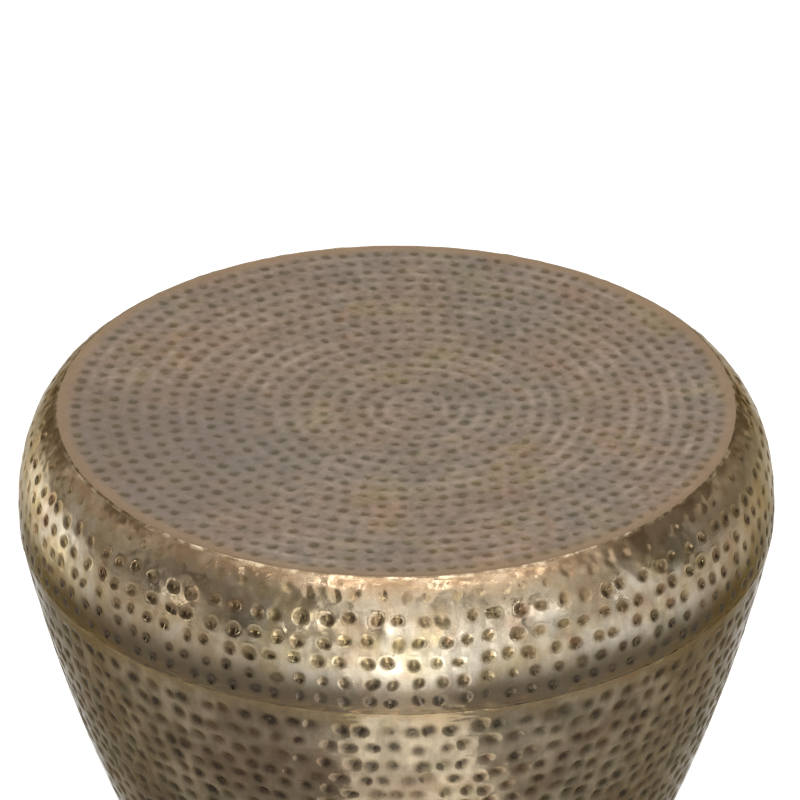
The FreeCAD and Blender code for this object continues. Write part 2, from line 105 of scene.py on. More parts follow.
def hammer_row(rng, count, start, end, low, high, radius, mark, depth, rings, closed, loose=0.35):
    """One row of blows, and the strip of points that carries it, in the plane of angle and distance
    along the section. Each blow has a cell that ends halfway to its neighbours. Shirley's map turns
    the square rings of the cell's grid into ellipses about the blow, out to one and a half half
    widths, and the last two rings go over into the cell's outline. Blows differ in place, by an
    eighth in width and length, by a fifth in depth, and in lean and darkness."""
    step = (end - start) / count
    middle = start + step * (np.arange(count) + 0.5 + loose * rng.uniform(-0.4, 0.4, count))
    sides = np.concatenate([[start], (middle[:-1] + middle[1:]) / 2, [end]])
    if closed:
        sides[0] = (middle[0] + middle[-1] - (end - start)) / 2
        sides[-1] = sides[0] + end - start
    tall = high(middle) - low(middle)
    centre = (high(middle) + low(middle)) / 2 + loose * 0.25 * tall * rng.uniform(-1, 1, count)
    width, length = np.array(mark)[:, None] * rng.normal(1.0, 0.12, (2, count)).clip(0.72, 1.26)
    lean = rng.uniform(-0.6, 0.6, count)
    deep = depth * rng.normal(1.0, 0.2, count).clip(0.45, 1.3)
    dark = rng.normal(0.9, 0.18, count).clip(0.35, 1.0)
    blows = np.stack([middle, centre, width, length, lean, deep, dark])

    grid = np.linspace(-1, 1, 2 * rings + 1)
    across, up = np.meshgrid(grid, grid)
    ring = np.maximum(abs(across), abs(up))
    with np.errstate(divide="ignore", invalid="ignore"):
        flat = np.pi / 4 * up / across + np.where(across < 0, np.pi, 0)
        steep = np.pi / 2 - np.pi / 4 * across / up + np.where(up < 0, np.pi, 0)
    heading = np.where(ring > 0, np.where(abs(across) >= abs(up), flat, steep), 0.0)
    ring, heading, across, up = (field[:, None, :] for field in (ring, heading, across, up))
    middle, centre, width, length, lean = (value[:, None] for value in blows[:5])
    spread = MARK_REACH * np.minimum(ring * rings / (rings - 1), 1)
    x, y = spread * width * np.cos(heading), spread * length * np.sin(heading)
    disc_angle = middle + (x * np.cos(lean) - y * np.sin(lean)) / radius
    disc_along = centre + x * np.sin(lean) + y * np.cos(lean)
    cell_angle = sides[:-1, None] + np.diff(sides)[:, None] * (across + 1) / 2
    cell_angle = np.broadcast_to(cell_angle, disc_angle.shape)
    cell_along = low(cell_angle) + (high(cell_angle) - low(cell_angle)) * (up + 1) / 2
    share = np.interp(ring * rings, [rings - 2, rings - 1, rings], [0.0, 0.45, 1.0])
    fields = (
        disc_angle + share * (cell_angle - disc_angle),
        disc_along + share * (cell_along - disc_along),
    )
    strip = []
    for field in fields:
        joined = field[:, :, :-1].reshape(2 * rings + 1, -1)
        strip.append(joined if closed else np.hstack([joined, field[:, -1, -1:]]))
    return strip, blows


def beaten(angle, along, reach, rows, patina_at=MARK_PATINA):
    """Relief, patina and polish that rows of blows leave at points of the sheet. In each row a
    point feels the blow on either side of it. With q for its distance in that blow's half widths,
    the sheet sinks by the blow's depth times ln(1 + e^(k(1 - q^2))) / k, less a sixth of the depth
    times a bell curve about q = 1.3, which is the lip that a blow pushes up. Patina and polish
    follow from q of the nearest blow."""
    relief, shade, nearest = np.zeros(angle.shape), np.zeros(angle.shape), np.full(angle.shape, 9.0)
    for row in rows:
        first = row[0, 0]
        after = np.searchsorted(row[0], (angle - first) % (2 * np.pi) + first)
        for place in (after - 1, after % row.shape[1]):
            middle, centre, width, length, lean, deep, dark = row[:, place]
            aside = ((angle - middle + np.pi) % (2 * np.pi) - np.pi) * reach
            above = along - centre
            x = (aside * np.cos(lean) + above * np.sin(lean)) / width
            y = (above * np.cos(lean) - aside * np.sin(lean)) / length
            away = np.hypot(x, y)
            relief -= deep * np.log1p(np.exp(MARK_EDGE * (1 - away**2))) / MARK_EDGE
            relief += deep * LIP_HEIGHT * np.exp(-(((away - LIP_PLACE) / LIP_WIDTH) ** 2))
            shade = np.where(away < nearest, dark, shade)
            nearest = np.minimum(away, nearest)
    patina = shade * np.interp(nearest, MARK_STEPS, patina_at)
    return relief, patina, np.interp(nearest, MARK_STEPS, MARK_POLISH)


def plain_band(angles, alongs):
    """Strip of plain rings in the same plane of angle and distance along the section."""
    along, angle = np.meshgrid(alongs, angles, indexing="ij")
    return angle, along


def turned(angles, profile, patina=0.0, polish=0.0):
    """Strip of rings: a profile of radius and height carried round the given angles."""
    radius, height = np.asarray(profile, float).T
    angle = np.broadcast_to(angles, (len(radius), len(angles)))
    x, y = radius[:, None] * np.cos(angle), radius[:, None] * np.sin(angle)
    points = np.stack([x, y, np.broadcast_to(height[:, None], angle.shape)], -1)
    flat = np.zeros(angle.shape)
    return angle, points, flat + patina, flat + polish


def whole_turn(count):
    """Angles of points spaced evenly round the table."""
    return np.arange(count) * 2 * np.pi / count


def stitch(above, below, above_ids, below_ids, closed):
    """Triangles between two lines of points whose counts differ. Each edge of a line is given to
    the point of the other line that is nearest at the edge's middle, by angle."""

    def halfway(line):
        """Middle of each edge, with the edge that closes a ring."""
        following = np.append(line[1:], line[0] + 2 * np.pi) if closed else line[1:]
        return (line[: len(following)] + following) / 2 if len(line) > 1 else np.zeros(0)

    def opposite(edges, others, count, side):
        """Point of the other line, of so many, that lies between the edges next to each edge."""
        if count == 1:
            return np.zeros(len(edges), int)
        if closed:
            edges = others[-1] - (others[-1] - edges) % (2 * np.pi)
        return np.searchsorted(others, edges, side) % count

    edges_above, edges_below = halfway(above), halfway(below)
    first, last = np.arange(len(edges_above)), (np.arange(len(edges_above)) + 1) % len(above)
    mates = opposite(edges_above, edges_below, len(below), "left")
    from_above = np.stack([above_ids[first], below_ids[mates], above_ids[last]], -1)
    first, last = np.arange(len(edges_below)), (np.arange(len(edges_below)) + 1) % len(below)
    mates = opposite(edges_below, edges_above, len(above), "right")
    from_below = np.stack([above_ids[mates], below_ids[first], below_ids[last]], -1)
    return np.vstack([from_above, from_below])


def join_strips(strips, closed, looped):
    """Faces of a chain of strips: quads inside each strip, stitched triangles from each strip to
    the next and, if the chain is a loop, from the last to the first."""
    starts = np.cumsum([0] + [strip[0].size for strip in strips])
    ids = [
        start + np.arange(strip[0].size).reshape(strip[0].shape)
        for strip, start in zip(strips, starts)
    ]
    quads, triangles = [], []
    for index in ids:
        ring = np.hstack([index, index[:, :1]]) if closed and index.shape[1] > 1 else index
        corners = [ring[:-1, :-1], ring[1:, :-1], ring[1:, 1:], ring[:-1, 1:]]
        quads.append(np.stack(corners, -1).reshape(-1, 4))
    pairs = [(place, place + 1) for place in range(len(strips) - 1)]
    if looped:
        pairs.append((len(strips) - 1, 0))
    for one, other in pairs:
        above, below = strips[one][0][-1], strips[other][0][0]
        triangles.append(stitch(above, below, ids[one][-1], ids[other][0], closed))
    return ids, np.vstack(quads), np.vstack(triangles)


def make_piece(name, strips, quads, triangles, material, node, slot):
    """Mesh object from strips and faces, with its patina and polish kept per point."""
    points = np.vstack([strip[1].reshape(-1, 3) for strip in strips])
    mesh = bpy.data.meshes.new(name)
    mesh.from_pydata(points, [], quads.tolist() + triangles.tolist())
    for label, place in (("patina", 2), ("polish", 3)):
        values = np.concatenate([strip[place].ravel() for strip in strips])
        layer = mesh.attributes.new(label, "FLOAT", "POINT")
        layer.data.foreach_set("value", values.astype(np.float32))
    mesh.polygons.foreach_set("use_smooth", np.ones(len(mesh.polygons), bool))
    mesh.set_sharp_from_angle(angle=np.radians(55))
    mesh.materials.append(material)
    mesh.validate()
    piece = bpy.data.objects.new(name, mesh)
    bpy.context.scene.collection.objects.link(piece)
    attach(piece, "root")
    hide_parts(node)
    return piece


def add_node(tree, kind, inputs=None, **settings):
    """New shader node. An input is a number, a colour or another node's socket."""
    made = tree.nodes.new(kind)
    for name, value in settings.items():
        setattr(made, name, value)
    for name, value in (inputs or {}).items():
        socket = made.inputs[name]
        if isinstance(value, bpy.types.NodeSocket):
            tree.links.new(value, socket)
        else:
            socket.default_value = value
    return made


def calculate(tree, operation, *values, clamp=False):
    """Math node's result."""
    inputs = dict(enumerate(values))
    return add_node(tree, "ShaderNodeMath", inputs, operation=operation, use_clamp=clamp).outputs[0]


def cloud(tree, place, size, seed, detail=3.0, twist=0.0, rough=0.5):
    """Noise whose blotches are about the given size in metres across."""
    inputs = {"Vector": place, "W": seed, "Scale": 1 / size, "Detail": detail}
    inputs.update({"Distortion": twist, "Roughness": rough})
    return add_node(tree, "ShaderNodeTexNoise", inputs, noise_dimensions="4D").outputs["Fac"]


def between(tree, value, low, high, bottom=0.0, top=1.0):
    """Smooth step of a value from one level to another."""
    inputs = {"Value": value, "From Min": low, "From Max": high, "To Min": bottom, "To Max": top}
    kind = "ShaderNodeMapRange"
    return add_node(tree, kind, inputs, interpolation_type="SMOOTHSTEP").outputs[0]


def mix_colour(tree, share, first, second, blend="MIX"):
    """Mix of two colours."""
    made = add_node(tree, "ShaderNodeMix", {0: share, 6: first, 7: second}, data_type="RGBA")
    made.blend_type = blend
    return made.outputs[2]


def shade_by(tree, colour, value):
    """Colour multiplied by a value."""
    grey = add_node(tree, "ShaderNodeCombineColor", {0: value, 1: value, 2: value}).outputs[0]
    return mix_colour(tree, 1.0, colour, grey, "MULTIPLY")


def painted_shade_patch(tree, place, colour, middle, reach, share, tint):
    """Broad patch of painted shade: another colour, ragged at its edge, round a point of the
    object.
    """
    kind = "ShaderNodeVectorMath"
    away = add_node(tree, kind, {0: place, 1: middle}, operation="DISTANCE").outputs["Value"]
    ragged = calculate(tree, "MULTIPLY", cloud(tree, place, 0.030, 91.0, detail=4.0), 0.10)
    level = calculate(tree, "ADD", away, ragged)
    spread = between(tree, level, reach + 0.05, reach * 0.4 + 0.05, 0.0, share)
    return mix_colour(tree, spread, colour, tint)


def new_finish(name):
    """New material, with its tree, its surface shader and the place on the object."""
    material = bpy.data.materials.new(name)
    material.use_nodes = True
    tree = material.node_tree
    place = add_node(tree, "ShaderNodeTexCoord").outputs["Object"]
    return material, tree, tree.nodes["Principled BSDF"], place


def roughen(tree, surface, height, strength, distance):
    """Pores and brush marks that are too fine for the mesh."""
    bump = {"Height": height, "Strength": strength, "Distance": distance}
    normal = add_node(tree, "ShaderNodeBump", bump).outputs["Normal"]
    tree.links.new(normal, surface.inputs["Normal"])


def aged_brass(
    name, ground, stains, polished, halo, pit, roughness, gloss, coat, wet, edge_tint, extra, blotch
):
    """Beaten brass under brown patina and clear wax. The ground is two colours in broad clouds, and
    each stain is a colour with its share and its seed, in blotches of the given size. Metal that
    the wheel reached, by the mesh's polish, goes over to the polished colour. Marks, by the mesh's
    patina, are darkened by the halo and near their middle once more by the pit, are glossier by
    the gloss, since the wheel hasn't scratched them, and hold more wax: the coat goes up to wet.
    Roughness runs from its first value to its second in patches."""
    material, tree, surface, place = new_finish(name)
    patina = add_node(tree, "ShaderNodeAttribute", attribute_name="patina").outputs["Fac"]
    polish = add_node(tree, "ShaderNodeAttribute", attribute_name="polish").outputs["Fac"]
    broad = cloud(tree, place, blotch * 2.6, 1.0, detail=4.0, twist=0.8)
    colour = mix_colour(tree, between(tree, broad, 0.38, 0.62), ground[0], ground[1])
    for tint, share, seed in stains:
        spot = cloud(tree, place, blotch, seed, detail=3.0, twist=1.2)
        colour = mix_colour(tree, between(tree, spot, 0.50, 0.68, 0.0, share), colour, tint)
    shine = cloud(tree, place, 0.030, 21.0, detail=3.0, twist=0.8)
    worn = calculate(tree, "MULTIPLY", polish, between(tree, shine, 0.36, 0.64, 0.28, 0.90))
    colour = mix_colour(tree, worn, colour, polished)
    tall = add_node(tree, "ShaderNodeMapping", {"Vector": place, "Scale": (1.0, 1.0, 0.22)})
    streak = cloud(tree, tall.outputs[0], 0.006, 25.0, detail=3.0, twist=0.3)
    colour = shade_by(tree, colour, between(tree, streak, 0.3, 0.7, 0.86, 1.16))
    colour = extra(tree, place, colour)
    grain = cloud(tree, place, 0.0011, 31.0, detail=3.0, rough=0.7)
    colour = shade_by(tree, colour, between(tree, grain, 0.25, 0.75, 0.90, 1.09))
    soot = cloud(tree, place, 0.0034, 41.0, detail=3.0, twist=0.4)
    dark = calculate(tree, "MULTIPLY", patina, between(tree, soot, 0.30, 0.70, 0.68, 1.16))
    colour = mix_colour(tree, between(tree, dark, 0.05, 0.65), colour, halo, "MULTIPLY")
    colour = mix_colour(tree, between(tree, dark, 0.34, 0.92), colour, pit, "MULTIPLY")
    tree.links.new(colour, surface.inputs["Base Color"])
    surface.inputs["Metallic"].default_value = 1.0
    dull = cloud(tree, place, 0.03, 51.0, detail=4.0)
    level = between(tree, dull, 0.34, 0.66, *roughness)
    level = calculate(tree, "SUBTRACT", level, calculate(tree, "MULTIPLY", patina, gloss))
    level = calculate(tree, "SUBTRACT", level, calculate(tree, "MULTIPLY", worn, 0.06), clamp=True)
    tree.links.new(level, surface.inputs["Roughness"])
    surface.inputs["Specular Tint"].default_value = edge_tint
    surface.inputs["Coat Weight"].default_value = coat
    tree.links.new(between(tree, dark, 0.1, 0.7, coat, wet), surface.inputs["Coat Weight"])
    surface.inputs["Coat Roughness"].default_value = 0.07
    dimple = cloud(tree, place, 0.0024, 61.0, detail=3.0, rough=0.6)
    pore = calculate(tree, "ADD", calculate(tree, "MULTIPLY", grain, 0.35), dimple)
    roughen(tree, surface, pore, 0.35, 0.00018)
    return material


def top_place(angle, along, height):
    """Points of the top: rings about the swirl whose centre moves to the table's axis as they
    grow, by one less the square of their share of the rim's radius."""
    drift = 1 - (along / RIM_RADIUS) ** 2
    x = along * np.cos(angle) + SWIRL_PLACE[0] * drift
    y = along * np.sin(angle) + SWIRL_PLACE[1] * drift
    return np.stack([x, y, TOP_HEIGHT + height], -1)


def beat_top():
    """Top, margin, turned-down lip and underside, from the swirl outwards and back. The height is
    the blows' relief and lumps, plus a cosine of the distance in rows, which leaves a ridge between
    rows and dies away outwards, plus a sine of the angle less the distance, which is the swirl's
    spiral groove, plus the square of the way across the margin, which lifts it to the crease.
    Polish follows the ridges, unevenly."""
    rng = np.random.default_rng(11)
    borders = SWIRL_RADIUS + TOP_PITCH * np.arange(TOP_ROWS + 1)
    phases = rng.uniform(0, 2 * np.pi, (TOP_ROWS + 1, len(SWAY_WAVES)))
    strips = [plain_band(np.zeros(1), [0.0])]
    strips.append(plain_band(whole_turn(56), np.linspace(0.0008, SWIRL_RADIUS - ROW_GAP, 9)))
    rows = []
    for row in range(TOP_ROWS):
        reach = min(TOP_WANDER, 0.03 * borders[row])

        def low(angle, row=row, reach=reach):
            return borders[row] + sway(angle, phases[row], reach * (row > 0)) + ROW_GAP

        def high(angle, row=row, reach=reach):
            inside = row + 1 < TOP_ROWS
            return borders[row + 1] + sway(angle, phases[row + 1], reach * inside) - ROW_GAP

        centre = (borders[row] + borders[row + 1]) / 2
        count = round(2 * np.pi * centre / TOP_MARK_SPACING)
        start = rng.uniform(0, 2 * np.pi / count)
        end = start + 2 * np.pi
        strip, blows = hammer_row(
            rng, count, start, end, low, high, centre, TOP_MARK, TOP_MARK_DEPTH, 4, True, loose=0.25
        )
        strips.append(strip)
        rows.append(blows)
    margin = np.linspace(borders[-1] + ROW_GAP, TOP_EDGE - TOP_CORNER, 7)
    strips.append(plain_band(whole_turn(RIM_POINTS), margin))
    laid = []
    for place, (angle, along) in enumerate(strips):
        near = rows[max(0, place - 3) : max(0, place)]
        relief, patina, polish = beaten(angle, along, along, near)
        swirl = np.exp(-((along / 0.02) ** 2)) * np.sin(angle - along * 1100) * SWIRL_GROOVE
        ridges = np.cos(2 * np.pi * (along - borders[0]) / TOP_PITCH) * np.exp(-along / 0.10)
        inward = (TOP_EDGE - along) / TOP_MARGIN
        fade = np.clip(inward, 0, 1) * np.clip(along / 0.004, 0, 1)
        rise = TOP_RISE * np.clip(1 - inward, 0, 1) ** 2
        points = top_place(angle, along, relief)
        uneven = lumps(points, np.random.default_rng(12), 0.014, 0.06, TOP_UNEVEN)
        points[..., 2] += fade * (uneven + ridges * TOP_RIDGE) + swirl + rise
        ring = ((along - borders[0]) / TOP_PITCH + 0.5) % 1 - 0.5
        rubbed = 0.30 + lumps(points, np.random.default_rng(14), 0.02, 0.07, 0.25)
        rubbed = 0.25 + np.exp(-((ring / 0.17) ** 2)) * np.clip(rubbed, 0.0, 0.75)
        polish = polish * rubbed * np.clip(along / SWIRL_RADIUS, 0.2, 1)
        laid.append((angle, points, patina, polish))
    turns = np.radians([70, 45, 20, 0])
    middle = (TOP_EDGE - TOP_CORNER, TOP_HEIGHT + TOP_RISE - TOP_CORNER)
    corner = [
        (middle[0] + TOP_CORNER * np.cos(turn), middle[1] + TOP_CORNER * np.sin(turn))
        for turn in turns
    ]
    lip_foot, lip_inside = TOP_HEIGHT - TOP_LIP, TOP_EDGE - SHEET
    lip = [(TOP_EDGE, lip_foot), (lip_inside, lip_foot)]
    lip += [(lip_inside, TOP_UNDER - TOP_BEND), (lip_inside - TOP_BEND, TOP_UNDER)]
    under = [(radius, TOP_UNDER) for radius in (0.215, 0.17, 0.11, 0.05, 0.012)]
    laid.append(turned(whole_turn(RIM_POINTS), corner, polish=0.8))
    laid.append(turned(whole_turn(INNER_POINTS), lip + under[:1]))
    laid.append(turned(whole_turn(120), under))
    laid.append(turned(np.zeros(1), [(0.0, TOP_UNDER)]))
    _, quads, triangles = join_strips(laid, True, False)
    return laid, quads, triangles


def top_extras(tree, place, colour):
    """A greyer patch of painted shade lies at the front left, and the unbeaten margin inside the
    rim is browner.
    """
    # Painted shade: a greyer, darker patch at the front left.
    front_left = (-0.160, -0.080, RIM_HEIGHT)
    colour = painted_shade_patch(tree, place, colour, front_left, 0.13, 0.60, (0.350, 0.300, 0.270, 1))
    flat = add_node(tree, "ShaderNodeMapping", {"Vector": place, "Scale": (1.0, 1.0, 0.0)})
    kind = "ShaderNodeVectorMath"
    reach = add_node(tree, kind, {0: flat.outputs[0]}, operation="LENGTH").outputs["Value"]
    ragged = cloud(tree, place, 0.014, 73.0, detail=3.0)
    level = calculate(tree, "ADD", reach, calculate(tree, "MULTIPLY", ragged, 0.008))
    margin = between(tree, level, RIM_RADIUS - 0.010, RIM_RADIUS + 0.002, 0.0, 0.8)
    return mix_colour(tree, margin, colour, (0.549, 0.388, 0.250, 1))


top_brass = aged_brass(
    "top_brass_aged",
    ground=((0.462, 0.346, 0.272, 1), (0.412, 0.346, 0.300, 1)),
    stains=(
        ((0.540, 0.344, 0.226, 1), 0.50, 3.0),
        ((0.366, 0.340, 0.288, 1), 0.40, 7.0),
        ((0.500, 0.415, 0.214, 1), 0.40, 13.0),
    ),
    polished=(0.659, 0.545, 0.455, 1),
    halo=(0.820, 0.830, 0.770, 1),
    pit=(0.720, 0.710, 0.640, 1),
    roughness=(0.33, 0.49),
    gloss=0.0,
    coat=0.06,
    wet=0.06,
    edge_tint=(0.8, 0.75, 0.7, 1),
    extra=top_extras,
    blotch=0.060,
)
make_piece("top_disc_beaten", *beat_top(), top_brass, "top_disc", "top_brass")


# ---------------------------------------------------------------- shoulder
# Band spun from sheet brass to a quarter ellipse and beaten in rows over a stake. Its crease stands
# a little proud of the top and is rubbed bright, partly a painted highlight; its lower edge is
# filed and brazed to the wall.

BELLY_RADIUS = 0.250
BELLY_HEIGHT = 0.3575
SEAM_HEIGHT = 0.3497
SHOULDER_WIDTH = 0.0286
CREASE_ANGLE = np.radians(76.5)
HALF_WIDTH = SHOULDER_WIDTH / (1 - np.cos(CREASE_ANGLE))
HALF_HEIGHT = (RIM_HEIGHT - BELLY_HEIGHT) / np.sin(CREASE_ANGLE)
SEAM_ANGLE = np.arcsin((SEAM_HEIGHT - BELLY_HEIGHT) / HALF_HEIGHT)

# Rows of blows from the crease down: the borders between them and how far each wanders, then how
# deep, how broad and how dark the marks of each row are. Those next to the crease are faint.
SHOULDER_BORDERS = np.array([5.2, 20.0, 35.0, 48.0, 61.0, 74.0, 85.0]) / 1000
SHOULDER_WANDER = np.array([0.0003, 0.001, 0.0012, 0.0012, 0.0012, 0.001, 0.0004])
SHOULDER_DEPTHS = np.array([0.50, 1.0, 1.05, 1.05, 1.0, 0.95]) / 1000
SHOULDER_SIZES = np.array([0.85, 1.08, 1.06, 1.04, 1.0, 0.95])
SHOULDER_SHADES = np.array([0.22, 0.85, 1.0, 1.0, 1.0, 1.0])
SHOULDER_PATINA = np.array([0.56, 0.88, 0.90, 0.46, 0.14, 0.0])
SHOULDER_MARK = (0.0035, 0.0034)
SHOULDER_SPACING = 0.0146
SHOULDER_UNEVEN = 0.00010
CREASE_UNEVEN = 0.00004
FACET_DEPTH = 0.00010
FLUTE_DEPTH = 0.00007
BEAD_UNEVEN = 0.00011
BEAD_HEIGHT = 0.00008
BEAD_PLACE = 0.0012
BEAD_WIDTH = 0.0010
INSET = 0.00025
SEAM_BAND = 0.003
SEAM_WAVE = 0.00008
SHOULDER_FILE_MARKS = 420
FILE_MARK_WIDTH = 0.0006
FILE_MARK_LIMIT = 0.0004
CREASE_POINTS = 540
SEAM_POINTS = 1080


def section_table(first, last, centre_radius, centre_height, half_width, half_height):
    """Distance along an ellipse's arc, summed over 4000 short chords, and the arc's angle there."""
    angles = np.linspace(first, last, 4000)
    radius = centre_radius + half_width * np.cos(angles)
    height = centre_height + half_height * np.sin(angles)
    steps = np.hypot(np.diff(radius), np.diff(height))
    return np.append(0, np.cumsum(steps)), angles


SHOULDER_CENTRE = BELLY_RADIUS - HALF_WIDTH
shoulder_run, shoulder_turn = section_table(
    CREASE_ANGLE, SEAM_ANGLE, SHOULDER_CENTRE, BELLY_HEIGHT, HALF_WIDTH, HALF_HEIGHT
)
SHOULDER_LENGTH = shoulder_run[-1]


def shoulder_section(along, height):
    """Radius and height of the shoulder's section: the ellipse's point at a distance along it,
    moved out along its normal."""
    turn = np.interp(along, shoulder_run, shoulder_turn)
    out, up = np.cos(turn) / HALF_WIDTH, np.sin(turn) / HALF_HEIGHT
    size = np.hypot(out, up)
    radius = SHOULDER_CENTRE + HALF_WIDTH * np.cos(turn) + height * out / size
    return radius, BELLY_HEIGHT + HALF_HEIGHT * np.sin(turn) + height * up / size


def round_place(angle, radius, height):
    """Points at an angle, a radius and a height about the table's axis."""
    return np.stack([radius * np.cos(angle), radius * np.sin(angle), height], -1)


def file_marks(angle, along, rng, count, radius, low, high):
    """Level scratches of a file, up to 6 mm long and 0.3 mm deep: each is a furrow whose depth
    falls off as a bell curve along and across it."""
    places = rng.uniform(0, 2 * np.pi, count)
    levels = rng.uniform(low, high, count)
    lengths = rng.uniform(0.0024, 0.006, count)
    depths = rng.uniform(0.00008, 0.0003, count)
    cut = np.zeros(angle.shape)
    for place, level, long, deep in zip(places, levels, lengths, depths):
        away = (angle - place + np.pi) % (2 * np.pi) - np.pi
        aside, above = away * radius / long, (along - level) / FILE_MARK_WIDTH
        cut -= deep * np.exp(-(aside**2) - above**2)
    return np.maximum(cut, -FILE_MARK_LIMIT)


def beat_shoulder():
    """Crease, beaten rows, filed seam edge and inner face of the shoulder, as one loop. The sheet
    lies in from the ellipse by the blows' relief and lumps. Near the crease come facets, which are
    lumps folded inwards, and flutes, which are sines of many waves round the table. The crease's
    bead is a bell curve along the section. The seam edge has file marks and a ragged wave."""
    rng = np.random.default_rng(21)
    count_rows = len(SHOULDER_DEPTHS)
    phases = rng.uniform(0, 2 * np.pi, (count_rows + 1, len(SWAY_WAVES)))
    crease = np.array([0.15, 0.45, 0.8, 1.2, 1.6, 2.1, 2.7, 3.5, 4.5]) / 1000
    strips, rows = [plain_band(whole_turn(CREASE_POINTS), crease)], []
    for row in range(count_rows):

        def low(angle, row=row):
            return SHOULDER_BORDERS[row] + sway(angle, phases[row], SHOULDER_WANDER[row]) + ROW_GAP

        def high(angle, row=row):
            following = row + 1
            wander = sway(angle, phases[following], SHOULDER_WANDER[following])
            return SHOULDER_BORDERS[following] + wander - ROW_GAP

        centre = (SHOULDER_BORDERS[row] + SHOULDER_BORDERS[row + 1]) / 2
        radius = shoulder_section(centre, 0.0)[0]
        count = round(2 * np.pi * radius / SHOULDER_SPACING) + (2 if row == count_rows - 1 else 0)
        start = rng.uniform(0, 2 * np.pi / count)
        end = start + 2 * np.pi
        mark = np.array(SHOULDER_MARK) * SHOULDER_SIZES[row]
        depth = SHOULDER_DEPTHS[row]
        strip, blows = hammer_row(
            rng, count, start, end, low, high, radius, mark, depth, 5, True, loose=0.45
        )
        blows[6] *= SHOULDER_SHADES[row]
        strips.append(strip)
        rows.append(blows)
    filed = np.linspace(SHOULDER_BORDERS[-1] + ROW_GAP, SHOULDER_LENGTH - 0.0001, 8)
    strips.append(plain_band(whole_turn(SEAM_POINTS), filed))
    laid = []
    for place, (angle, along) in enumerate(strips):
        radius = shoulder_section(along, 0.0)[0]
        points = round_place(angle, *shoulder_section(along, 0.0))
        near = rows[max(0, place - 2) : place + 1]
        relief, patina, polish = beaten(angle, along, radius, near, SHOULDER_PATINA)
        upper = np.clip((0.030 - along) / 0.020, 0, 1) * np.clip((along - 0.001) / 0.004, 0, 1)
        uneven = lumps(points, np.random.default_rng(22), 0.014, 0.05, SHOULDER_UNEVEN)
        creased = lumps(points, np.random.default_rng(24), 0.005, 0.011, CREASE_UNEVEN)
        facets = -abs(lumps(points, np.random.default_rng(26), 0.012, 0.022, FACET_DEPTH))
        flutes = sway(angle * 9, phases[0] * 3, FLUTE_DEPTH)
        flutes = flutes + sway(angle * 6, phases[1] * 3, FLUTE_DEPTH)
        uneven += creased * (1 + 2 * upper) + (flutes + facets) * upper
        bead = lumps(points, np.random.default_rng(25), 0.006, 0.02, BEAD_UNEVEN)
        bead = (BEAD_HEIGHT + bead) * np.exp(-(((along - BEAD_PLACE) / BEAD_WIDTH) ** 2))
        fade = np.clip(along / 0.006, 0, 1)
        ragged = np.clip((along - SHOULDER_LENGTH + SEAM_BAND) / SEAM_BAND, 0, 1)
        wave = lumps(points, np.random.default_rng(23), 0.003, 0.012, SEAM_WAVE)
        out = relief + fade * (uneven - INSET) + ragged * wave
        if place == len(strips) - 1:
            span = (SHOULDER_BORDERS[-1], SHOULDER_LENGTH)
            out += file_marks(angle, along, rng, SHOULDER_FILE_MARKS, BELLY_RADIUS, *span)
        points = round_place(angle, *shoulder_section(along, np.minimum(out, 0.0) + bead))
        points[..., 2] = np.minimum(points[..., 2] + ragged * wave, RIM_HEIGHT)
        laid.append((angle, points, patina, polish))
    depth_at = np.array([0, 0.012, 0.07, 0.082, SHOULDER_LENGTH])
    thick_at = np.array([1.25, 1.62, 1.62, 1.3, 1.2]) / 1000
    inside = np.linspace(SHOULDER_LENGTH, 0.004, 26)
    inner = np.stack(shoulder_section(inside, -np.interp(inside, depth_at, thick_at)), -1)
    inner[:1, 1] = SEAM_HEIGHT + 0.0003
    laid.append(turned(whole_turn(INNER_POINTS), inner))
    rolled = [(-0.00008, -0.0034), (-0.00008, -0.00010), (-0.00004, -0.00003)]
    mouth = [(RIM_RADIUS + out, RIM_HEIGHT + up) for out, up in rolled]
    laid.append(turned(whole_turn(RIM_POINTS), mouth, polish=1.0))
    _, quads, triangles = join_strips(laid, True, True)
    return laid, quads, triangles


